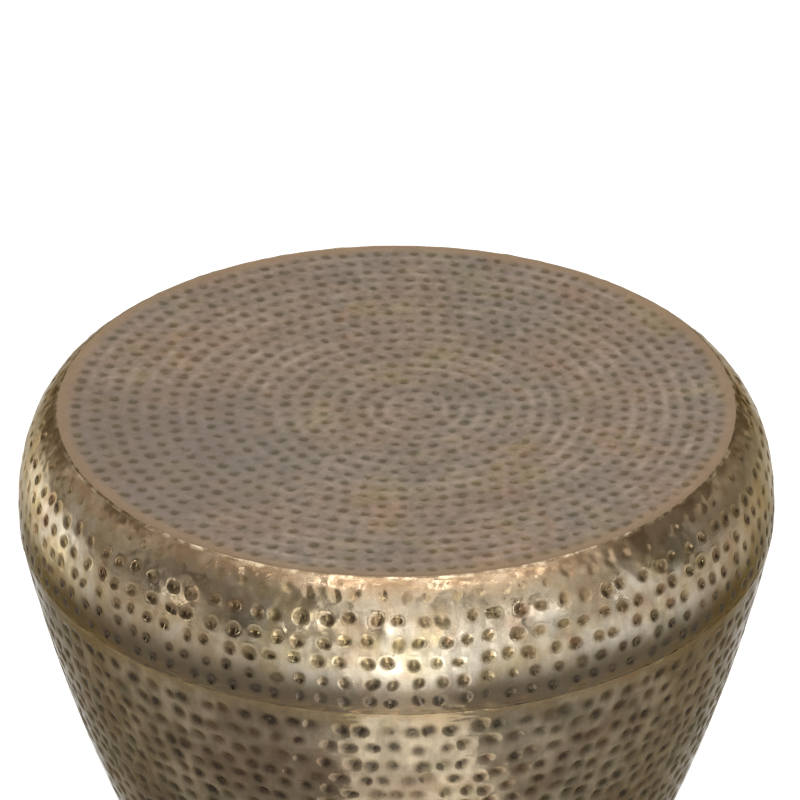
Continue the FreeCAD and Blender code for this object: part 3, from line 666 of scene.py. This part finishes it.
def shoulder_extras(tree, place, colour):
    """The unbeaten margin under the crease is left brown and the crease is rubbed to gold, which is
    partly a painted highlight. Brown patches of painted shade lie at the front left and at the
    right. The lower rows are darkened with painted shade, and the filed seam shows yellow brass and
    copper where the braze ran, with smoky spots."""
    height = add_node(tree, "ShaderNodeSeparateXYZ", {"Vector": place}).outputs["Z"]
    ragged = cloud(tree, place, 0.016, 71.0, detail=3.0)
    level = calculate(tree, "ADD", height, calculate(tree, "MULTIPLY", ragged, 0.010))
    tanned = between(tree, level, RIM_HEIGHT - 0.024, RIM_HEIGHT - 0.004, 0.0, 0.6)
    colour = mix_colour(tree, tanned, colour, (0.285, 0.212, 0.126, 1))
    # Painted shade: browner, darker patches at the front left and at the right.
    front_left, right = (-0.14, -0.20, 0.365), (0.24, -0.12, 0.385)
    colour = painted_shade_patch(tree, place, colour, front_left, 0.11, 0.52, (0.190, 0.128, 0.068, 1))
    colour = painted_shade_patch(tree, place, colour, right, 0.09, 0.50, (0.200, 0.136, 0.080, 1))
    margin = between(tree, level, RIM_HEIGHT - 0.0060, RIM_HEIGHT + 0.0020)
    worn = between(tree, ragged, 0.40, 0.64)
    brown = mix_colour(tree, worn, (0.295, 0.194, 0.112, 1), (0.445, 0.332, 0.216, 1))
    colour = mix_colour(tree, margin, colour, brown)
    # The crease is rubbed to gold: partly real wear, partly a painted highlight along the fold.
    fine = cloud(tree, place, 0.007, 75.0, detail=3.0)
    edge = calculate(tree, "ADD", height, calculate(tree, "MULTIPLY", fine, 0.0018))
    crease = between(tree, edge, RIM_HEIGHT - 0.0008, RIM_HEIGHT + 0.0006)
    bright = between(tree, fine, 0.42, 0.62)
    gold = mix_colour(tree, bright, (0.315, 0.218, 0.130, 1), (0.672, 0.535, 0.365, 1))
    colour = mix_colour(tree, crease, colour, gold)
    squash = add_node(tree, "ShaderNodeMapping", {"Vector": place, "Scale": (1.0, 1.0, 5.0)})
    streak = cloud(tree, squash.outputs[0], 0.018, 81.0, detail=4.0, twist=0.5)
    # Painted shade: the lower rows go over to near black towards the seam.
    low = between(tree, level, SEAM_HEIGHT + 0.046, SEAM_HEIGHT + 0.016, 0.0, 0.97)
    colour = mix_colour(tree, low, colour, (0.062, 0.046, 0.029, 1))
    near = between(tree, height, SEAM_HEIGHT + 0.010, SEAM_HEIGHT + 0.001)
    yellow = calculate(tree, "MULTIPLY", near, between(tree, streak, 0.48, 0.70, 0.0, 0.6))
    colour = mix_colour(tree, yellow, colour, (0.150, 0.115, 0.058, 1))
    copper = calculate(tree, "MULTIPLY", near, between(tree, streak, 0.44, 0.30, 0.0, 0.8))
    colour = mix_colour(tree, copper, colour, (0.165, 0.098, 0.048, 1))
    smoky = calculate(tree, "MULTIPLY", near, between(tree, ragged, 0.42, 0.60, 0.0, 0.75))
    return mix_colour(tree, smoky, colour, (0.084, 0.058, 0.030, 1))


shoulder_brass = aged_brass(
    "shoulder_brass_aged",
    ground=((0.294, 0.198, 0.104, 1), (0.342, 0.264, 0.146, 1)),
    stains=(
        ((0.232, 0.122, 0.058, 1), 0.90, 3.0),
        ((0.348, 0.288, 0.125, 1), 0.60, 7.0),
        ((0.200, 0.178, 0.100, 1), 0.55, 13.0),
    ),
    polished=(0.470, 0.430, 0.356, 1),
    halo=(0.630, 0.620, 0.595, 1),
    pit=(0.610, 0.575, 0.550, 1),
    roughness=(0.18, 0.38),
    gloss=0.07,
    coat=0.10,
    wet=0.26,
    edge_tint=(0.46, 0.41, 0.31, 1),
    extra=shoulder_extras,
    blotch=0.035,
)
make_piece(
    "shoulder_band_beaten", *beat_shoulder(), shoulder_brass, "shoulder_band", "shoulder_brass"
)


# ---------------------------------------------------------------- wall
# Two halves of sheet brass, beaten in level rows of broader marks and brazed together at the sides.
# The foot is left smooth and rolled inwards round a wire.

WALL_CURVE = 1.228
WALL_LEAN = np.radians(9.9)
SEAM_RADIUS = SHOULDER_CENTRE + HALF_WIDTH * np.cos(SEAM_ANGLE)
WALL_CENTRE = SEAM_RADIUS - WALL_CURVE * np.cos(WALL_LEAN)
WALL_CENTRE_HEIGHT = SEAM_HEIGHT + WALL_CURVE * np.sin(WALL_LEAN)
CURL_INNER = 0.0028
CURL_OUTER = CURL_INNER + SHEET
CURL_HEIGHT = 0.003 + CURL_OUTER
CURL_REACH = WALL_CURVE - SHEET - CURL_INNER
CURL_FALL = WALL_CENTRE_HEIGHT - CURL_HEIGHT
CURL_CENTRE = WALL_CENTRE + np.sqrt(CURL_REACH**2 - CURL_FALL**2)
CURL_TOUCH = -np.arcsin(CURL_FALL / CURL_REACH)
WALL_LENGTH = WALL_CURVE * (-CURL_TOUCH - WALL_LEAN)

# Borders between the rows of blows, from the seam down. The first rows are wider.
WALL_BORDERS = np.append([6.8, 21.2, 36.6, 51.0], 63.2 + 12.1 * np.arange(24)) / 1000
WALL_WANDER = 0.0012
WALL_MARK = (0.0047, 0.0043)
WALL_SPACING = 0.0144
WALL_DEPTH = 0.00098
WALL_PATINA = np.array([0.85, 0.92, 0.66, 0.30, 0.08, 0.0])
WALL_UNEVEN = 0.00006
WALL_SHELL = 0.00145
WALL_FADE = 0.02
WALL_FILE_MARKS = 380
UPRIGHT_SEAM_DEPTH = 0.0003
UPRIGHT_SEAM_WIDTH = 0.0007
WALL_SEAM_POINTS = 541
FOOT_POINTS = 241
CURL_POINTS = 121
WALL_INNER_POINTS = 73


def wall_section(along, height):
    """Radius and height of the wall's section: a point of its arc, moved out along its normal."""
    turn = -WALL_LEAN - along / WALL_CURVE
    reach = WALL_CURVE + height
    return WALL_CENTRE + reach * np.cos(turn), WALL_CENTRE_HEIGHT + reach * np.sin(turn)


def beat_wall(start, seed):
    """Half of the wall from one upright seam to the other, with its rolled foot and its inner face.
    The sheet lies in from its arc by the blows' relief and lumps, plus a bell curve that sinks it
    at each upright seam, plus file marks and a ragged wave at the top. The foot is a circle round
    the wire. At each end a strip of triangles closes the half, stitched by share of the way along
    both faces."""
    rng = np.random.default_rng(seed)
    end = start + np.pi
    borders = WALL_BORDERS
    count_rows = len(borders) - 1
    phases = np.random.default_rng(31).uniform(0, 2 * np.pi, (count_rows + 1, len(SWAY_WAVES)))
    filed = np.linspace(0.0001, borders[0] - ROW_GAP, 8)
    strips, rows = [plain_band(np.linspace(start, end, WALL_SEAM_POINTS), filed)], []
    for row in range(count_rows):

        def low(angle, row=row):
            return borders[row] + sway(angle, phases[row], WALL_WANDER * (row > 0)) + ROW_GAP

        def high(angle, row=row):
            inside = row + 1 < count_rows
            return borders[row + 1] + sway(angle, phases[row + 1], WALL_WANDER * inside) - ROW_GAP

        radius = wall_section((borders[row] + borders[row + 1]) / 2, 0.0)[0]
        count = round(np.pi * radius / WALL_SPACING)
        strip, blows = hammer_row(
            rng, count, start, end, low, high, radius, WALL_MARK, WALL_DEPTH, 4, False, loose=0.55
        )
        blows[6] *= rng.uniform(0.55, 1.15, count)
        strips.append(strip)
        rows.append(blows)
    foot = np.linspace(borders[-1] + ROW_GAP, WALL_LENGTH, 5)
    strips.append(plain_band(np.linspace(start, end, FOOT_POINTS), foot))
    laid = []
    for place, (angle, along) in enumerate(strips):
        radius = wall_section(along, 0.0)[0]
        points = round_place(angle, *wall_section(along, 0.0))
        near = rows[max(0, place - 2) : place + 1]
        relief, patina, polish = beaten(angle, along, radius, near, WALL_PATINA)
        uneven = lumps(points, np.random.default_rng(32), 0.014, 0.06, WALL_UNEVEN)
        wave = lumps(points, np.random.default_rng(33), 0.003, 0.012, SEAM_WAVE)
        ragged = np.clip((SEAM_BAND - along) / SEAM_BAND, 0, 1)
        fade = np.clip((WALL_LENGTH - along) / WALL_FADE, 0, 1)
        aside = np.minimum(angle - start, end - angle) * radius
        seam = -UPRIGHT_SEAM_DEPTH * np.exp(-((aside / UPRIGHT_SEAM_WIDTH) ** 2))
        out = relief + fade * (uneven - INSET) + ragged * (wave - 0.0001) + seam
        if place == 0:
            out += file_marks(angle, along, rng, WALL_FILE_MARKS, BELLY_RADIUS, 0.0, borders[0])
        points = round_place(angle, *wall_section(along, np.minimum(out, 0.0)))
        laid.append((angle, points, patina, polish))
    curl_angles = np.linspace(CURL_TOUCH, -1.5 * np.pi, 22)[1:]
    curl_centre = np.array([CURL_CENTRE, CURL_HEIGHT])
    around = np.stack([np.cos(curl_angles), np.sin(curl_angles)], -1)
    outer_curl = curl_centre + CURL_OUTER * around
    inner_curl = curl_centre + CURL_INNER * around[::-1]
    laid.append(turned(np.linspace(start, end, CURL_POINTS), outer_curl, polish=1.0))
    outer_count = len(laid)
    rise = np.linspace(WALL_LENGTH, 0.0, 24)
    depth_at = [0, 0.012, WALL_LENGTH - WALL_FADE, WALL_LENGTH]
    shell = np.interp(rise, depth_at, [SHEET, WALL_SHELL, WALL_SHELL, SHEET])
    inner_face = np.stack(wall_section(rise, -shell), -1)
    laid.append(turned(np.linspace(start, end, CURL_POINTS), inner_curl))
    laid.append(turned(np.linspace(start, end, WALL_INNER_POINTS), inner_face))
    ids, quads, triangles = join_strips(laid, False, True)
    points = np.vstack([strip[1].reshape(-1, 3) for strip in laid])

    def share_of_way(chosen):
        """Distance along a line of points, as a share of the line's length."""
        length = np.cumsum(np.linalg.norm(np.diff(points[chosen], axis=0), axis=1))
        return np.append(0, length) / length[-1]

    caps = []
    for column, flipped in ((0, False), (-1, True)):
        outer = np.concatenate([index[:, column] for index in ids[:outer_count]])
        inner = np.concatenate([index[:, column] for index in ids[outer_count:]])[::-1]
        cap = stitch(share_of_way(outer), share_of_way(inner), outer, inner, False)
        caps.append(cap[:, ::-1] if flipped else cap)
    return laid, quads, np.vstack([triangles] + caps)


def wall_extras(tree, place, colour):
    """The shoulder's lighter brass runs on below the seam in patches, braze shows yellow and copper
    there, a dark patch of painted shade lies at the front left, and a thin yellow line follows each
    upright seam."""
    parts = add_node(tree, "ShaderNodeSeparateXYZ", {"Vector": place})
    height = parts.outputs["Z"]
    patch = cloud(tree, place, 0.020, 85.0, detail=3.0)
    reach = calculate(tree, "ADD", height, calculate(tree, "MULTIPLY", patch, 0.040))
    light = between(tree, reach, SEAM_HEIGHT + 0.004, SEAM_HEIGHT + 0.024, 0.0, 0.8)
    colour = mix_colour(tree, light, colour, (0.125, 0.088, 0.044, 1))
    squash = add_node(tree, "ShaderNodeMapping", {"Vector": place, "Scale": (1.0, 1.0, 5.0)})
    streak = cloud(tree, squash.outputs[0], 0.018, 83.0, detail=4.0, twist=0.5)
    near = between(tree, height, SEAM_HEIGHT - 0.006, SEAM_HEIGHT - 0.001)
    yellow = calculate(tree, "MULTIPLY", near, between(tree, streak, 0.48, 0.70, 0.0, 0.6))
    colour = mix_colour(tree, yellow, colour, (0.200, 0.155, 0.075, 1))
    copper = calculate(tree, "MULTIPLY", near, between(tree, streak, 0.44, 0.30, 0.0, 0.8))
    colour = mix_colour(tree, copper, colour, (0.135, 0.082, 0.045, 1))
    aside = calculate(tree, "ABSOLUTE", parts.outputs["Y"])
    braze = between(tree, aside, 0.0020, 0.0006, 0.0, 0.8)
    # Painted shade: a dark patch at the front left.
    front_left = (-0.07, -0.22, 0.285)
    colour = painted_shade_patch(tree, place, colour, front_left, 0.08, 0.50, (0.062, 0.041, 0.026, 1))
    return mix_colour(tree, braze, colour, (0.210, 0.165, 0.085, 1))


# The wall's colours are painted shade: the same aged brass as the shoulder's, made several times
# darker for the wall, which turns down.
wall_brass = aged_brass(
    "wall_brass_aged_painted_shade",
    ground=((0.070, 0.049, 0.031, 1), (0.064, 0.050, 0.034, 1)),
    stains=(
        ((0.082, 0.048, 0.028, 1), 0.60, 5.0),
        ((0.063, 0.064, 0.041, 1), 0.55, 9.0),
        ((0.090, 0.073, 0.039, 1), 0.40, 15.0),
    ),
    polished=(0.184, 0.151, 0.104, 1),
    halo=(0.700, 0.670, 0.610, 1),
    pit=(0.360, 0.350, 0.350, 1),
    roughness=(0.15, 0.31),
    gloss=0.05,
    coat=0.06,
    wet=0.14,
    edge_tint=(0.48, 0.45, 0.40, 1),
    extra=wall_extras,
    blotch=0.035,
)
make_piece("wall_front_beaten", *beat_wall(-np.pi, 41), wall_brass, "wall_front", "wall_brass")
make_piece("wall_back_beaten", *beat_wall(0.0, 42), wall_brass, "wall_back", "wall_brass")


# ---------------------------------------------------------------- steelwork inside
# Hoops, cross bars, strips, base ring and wire of mild steel, brazed or tacked in place and brushed
# with matt black paint. They are shown as built.

INNER_STEEL = (
    "base_wire",
    "joint_hoop",
    "side_strip_right",
    "side_strip_left",
    "top_hoop",
    "brace_bar_long",
    "brace_bar_cross",
    "base_ring",
)


def black_paint():
    """Matt black paint on mild steel: brush marks, dust and a few thin brown spots."""
    material, tree, surface, place = new_finish("black_paint")
    dust = between(tree, cloud(tree, place, 0.03, 2.0, detail=5.0), 0.35, 0.75)
    colour = mix_colour(tree, dust, (0.012, 0.012, 0.012, 1), (0.034, 0.031, 0.028, 1))
    spots = cloud(tree, place, 0.006, 4.0, detail=5.0, rough=0.7)
    rust = between(tree, spots, 0.62, 0.74, 0.0, 0.8)
    colour = mix_colour(tree, rust, colour, (0.075, 0.032, 0.016, 1))
    tree.links.new(colour, surface.inputs["Base Color"])
    level = between(tree, cloud(tree, place, 0.008, 6.0, detail=4.0), 0.3, 0.7, 0.55, 0.78)
    tree.links.new(level, surface.inputs["Roughness"])
    brushed = cloud(tree, place, 0.0015, 8.0, detail=4.0, rough=0.7)
    roughen(tree, surface, brushed, 0.4, 0.0002)
    return material


def dress(names, material):
    """Gives a material to pieces that are shown as built."""
    for name in names:
        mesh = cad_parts[name].data
        mesh.materials.clear()
        mesh.materials.append(material)


dress(INNER_STEEL, black_paint())


# ---------------------------------------------------------------- glides
# Four moulded rubber feet, each moulded round a zinc-plated stud that a nut holds in the base ring.

GLIDES = ("glide_front_right", "glide_back_right", "glide_back_left", "glide_front_left")


def moulded_rubber():
    """Black rubber: faint bloom and the fine texture of the mould."""
    material, tree, surface, place = new_finish("moulded_rubber")
    bloom = between(tree, cloud(tree, place, 0.006, 3.0, detail=4.0), 0.35, 0.75)
    colour = mix_colour(tree, bloom, (0.010, 0.010, 0.010, 1), (0.032, 0.031, 0.030, 1))
    tree.links.new(colour, surface.inputs["Base Color"])
    level = between(tree, cloud(tree, place, 0.002, 5.0, detail=3.0), 0.3, 0.7, 0.62, 0.82)
    tree.links.new(level, surface.inputs["Roughness"])
    roughen(tree, surface, cloud(tree, place, 0.0005, 7.0, detail=3.0), 0.5, 0.0001)
    return material


def zinc_plate():
    """Bright zinc: faint spangle, bluish grey, with the odd dull spot."""
    material, tree, surface, place = new_finish("zinc_plate")
    spangle = between(tree, cloud(tree, place, 0.0012, 3.0, detail=3.0), 0.3, 0.7)
    colour = mix_colour(tree, spangle, (0.50, 0.52, 0.54, 1), (0.66, 0.66, 0.62, 1))
    tree.links.new(colour, surface.inputs["Base Color"])
    surface.inputs["Metallic"].default_value = 1.0
    level = between(tree, cloud(tree, place, 0.0018, 5.0, detail=3.0), 0.3, 0.7, 0.24, 0.42)
    tree.links.new(level, surface.inputs["Roughness"])
    return material


dress(GLIDES, moulded_rubber())
dress(("glide_studs", "glide_nuts"), zinc_plate())


# ---------------------------------------------------------------- floor, light and camera
# Pale sheet of card that runs out past the view, a dim warm room, soft panels of light and narrow
# strips round the table, and a long lens above it that looks down on the top.

FLOOR_REACH = 14.0
FLOOR_DROP = 0.0002
FLOOR_GLOW = 0.50
SHOULDER_AIM = (0, 0, 0.38)


def seen_or_mirrored(tree):
    """1 where the camera, a mirror or glass looks, 0 where light only spreads."""
    rays = add_node(tree, "ShaderNodeLightPath").outputs
    seen = calculate(tree, "MAXIMUM", rays["Is Camera Ray"], rays["Is Glossy Ray"])
    return calculate(tree, "MAXIMUM", seen, rays["Is Transmission Ray"])


def pale_floor():
    """Flat square of matt card just under the glides. It glows a little for the camera and in the
    metal, so that it shows white there, and it keeps the table's shadow."""
    mesh = bpy.data.meshes.new("floor")
    corners = [(-1, -1), (1, -1), (1, 1), (-1, 1)]
    points = [(x * FLOOR_REACH, y * FLOOR_REACH, -FLOOR_DROP) for x, y in corners]
    mesh.from_pydata(points, [], [(0, 1, 2, 3)])
    material = bpy.data.materials.new("pale_card")
    material.use_nodes = True
    tree = material.node_tree
    surface = tree.nodes["Principled BSDF"]
    seen = seen_or_mirrored(tree)
    level = between(tree, seen, 0.0, 1.0, 0.80, 1.0)
    shade = add_node(tree, "ShaderNodeCombineColor", {0: level, 1: level, 2: level}).outputs[0]
    tree.links.new(shade, surface.inputs["Base Color"])
    surface.inputs["Emission Color"].default_value = (1, 1, 1, 1)
    glow = calculate(tree, "MULTIPLY", seen, FLOOR_GLOW)
    tree.links.new(glow, surface.inputs["Emission Strength"])
    surface.inputs["Roughness"].default_value = 0.9
    surface.inputs["Specular IOR Level"].default_value = 0.0
    mesh.materials.append(material)
    floor = bpy.data.objects.new("floor", mesh)
    bpy.context.scene.collection.objects.link(floor)


def light_room():
    """Dim warm light all round, so that the panels and the floor stand out in the metal."""
    world = bpy.data.worlds.new("room")
    bpy.context.scene.world = world
    world.use_nodes = True
    backdrop = world.node_tree.nodes["Background"]
    backdrop.inputs["Color"].default_value = (1.0, 0.92, 0.79, 1)
    backdrop.inputs["Strength"].default_value = 0.26


def panel(name, place, aim, width, height, radiance, warmth=0.0):
    """Soft rectangular lamp. Its power is radiance times area times pi. Warmth takes green and blue
    away from its colour."""
    lamp = bpy.data.lights.new(name, "AREA")
    lamp.color = (1.0, 1.0 - 0.4 * warmth, 1.0 - warmth)
    lamp.shape = "RECTANGLE"
    lamp.size, lamp.size_y = width, height
    lamp.energy = radiance * width * height * np.pi
    stand = bpy.data.objects.new(name, lamp)
    stand.location = place
    direction = Vector(aim) - Vector(place)
    stand.rotation_euler = direction.to_track_quat("-Z", "Y").to_euler()
    stand.visible_camera = False
    bpy.context.scene.collection.objects.link(stand)


def bearing(azimuth, elevation, distance, about=SHOULDER_AIM):
    """Point at an azimuth from the front, to the right, an elevation and a distance."""
    a, e = np.radians(azimuth), np.radians(elevation)
    x, y = np.sin(a) * np.cos(e), -np.cos(a) * np.cos(e)
    return tuple(np.array(about) + distance * np.array([x, y, np.sin(e)]))


pale_floor()
light_room()

# Broad panels above and at the sides, which give the metal its even tones.
panel("overhead_panel", (0.0, 0.35, 2.7), (0, 0.35, 0), 2.8, 2.2, 0.96)
panel("upper_panel", bearing(-6, 74, 2.2), SHOULDER_AIM, 0.9, 0.7, 1.65)
panel("high_panel", bearing(-4, 45, 2.3), SHOULDER_AIM, 1.1, 1.6, 1.6)
panel("high_right_panel", bearing(44, 46, 2.3), SHOULDER_AIM, 1.4, 1.5, 1.08)
panel("right_panel", bearing(112, 12, 2.3), SHOULDER_AIM, 1.5, 0.9, 0.36)
panel("high_left_panel", bearing(-66, 46, 2.3), SHOULDER_AIM, 1.8, 1.2, 0.42)
panel("left_panel", bearing(-100, 20, 2.3), SHOULDER_AIM, 1.9, 1.2, 0.50)
for azimuth, width, radiance in ((-24, 1.1, 0.34), (15, 1.8, 0.92), (56, 1.2, 0.52)):
    panel("wide_panel", bearing(azimuth, 14, 2.6), SHOULDER_AIM, width, 1.6, radiance, 0.1)

# Upright panels in front, whose mirror images are the bright bands on the shoulder and the wall.
for azimuth, radiance in ((-14, 1.7), (1, 1.30), (11, 1.4), (30, 1.3), (-62, 1.05)):
    panel("front_panel", bearing(azimuth, 8, 2.3), SHOULDER_AIM, 0.22, 1.3, radiance)

# Narrow strips, which the lips and ridges between the marks catch as fine bright lines.
for azimuth, elevation in ((-62, 6), (-20, 15), (41, 14), (68, 8)):
    panel("narrow_strip", bearing(azimuth, elevation, 2.2), SHOULDER_AIM, 0.055, 0.45, 12.5)
for azimuth, elevation in ((-12, 9), (3, 12), (13, 8)):
    panel("middle_strip", bearing(azimuth, elevation, 2.2), SHOULDER_AIM, 0.055, 0.45, 4.5)
for azimuth, elevation in ((-40, 56), (-22, 62), (24, 60), (50, 58)):
    panel("high_strip", bearing(azimuth, elevation, 2.2), SHOULDER_AIM, 0.05, 0.3, 15.0)

# A low panel at the far left, one behind, and two that lie on the floor and face upwards. They
# light the wall where it turns under.
panel("far_left_panel", bearing(-116, -9, 1.3), SHOULDER_AIM, 0.9, 0.36, 1.3)
panel("back_panel", bearing(178, 30, 2.8), SHOULDER_AIM, 3.0, 1.7, 0.31)
panel("floor_panel", (0.03, -0.70, 0.01), (0.03, -0.70, 1.0), 0.24, 1.0, 2.7)
panel("far_floor_panel", (0.03, -1.80, 0.01), (0.03, -1.80, 1.0), 0.46, 1.2, 5.4)

CAMERA_LENS = 154.8
CAMERA_PLACE = (0.0023, -1.9668, 1.5229)
CAMERA_DIP = 29.11

camera = bpy.data.objects.new("camera", bpy.data.cameras.new("camera"))
camera.data.lens = CAMERA_LENS
camera.data.sensor_width = 36.0
camera.data.clip_start, camera.data.clip_end = 0.05, 40.0
camera.location = CAMERA_PLACE
camera.rotation_euler = Euler((np.radians(90 - CAMERA_DIP), 0, 0))
bpy.context.scene.collection.objects.link(camera)
bpy.context.scene.camera = camera
bpy.context.scene.view_settings.view_transform = "Standard"
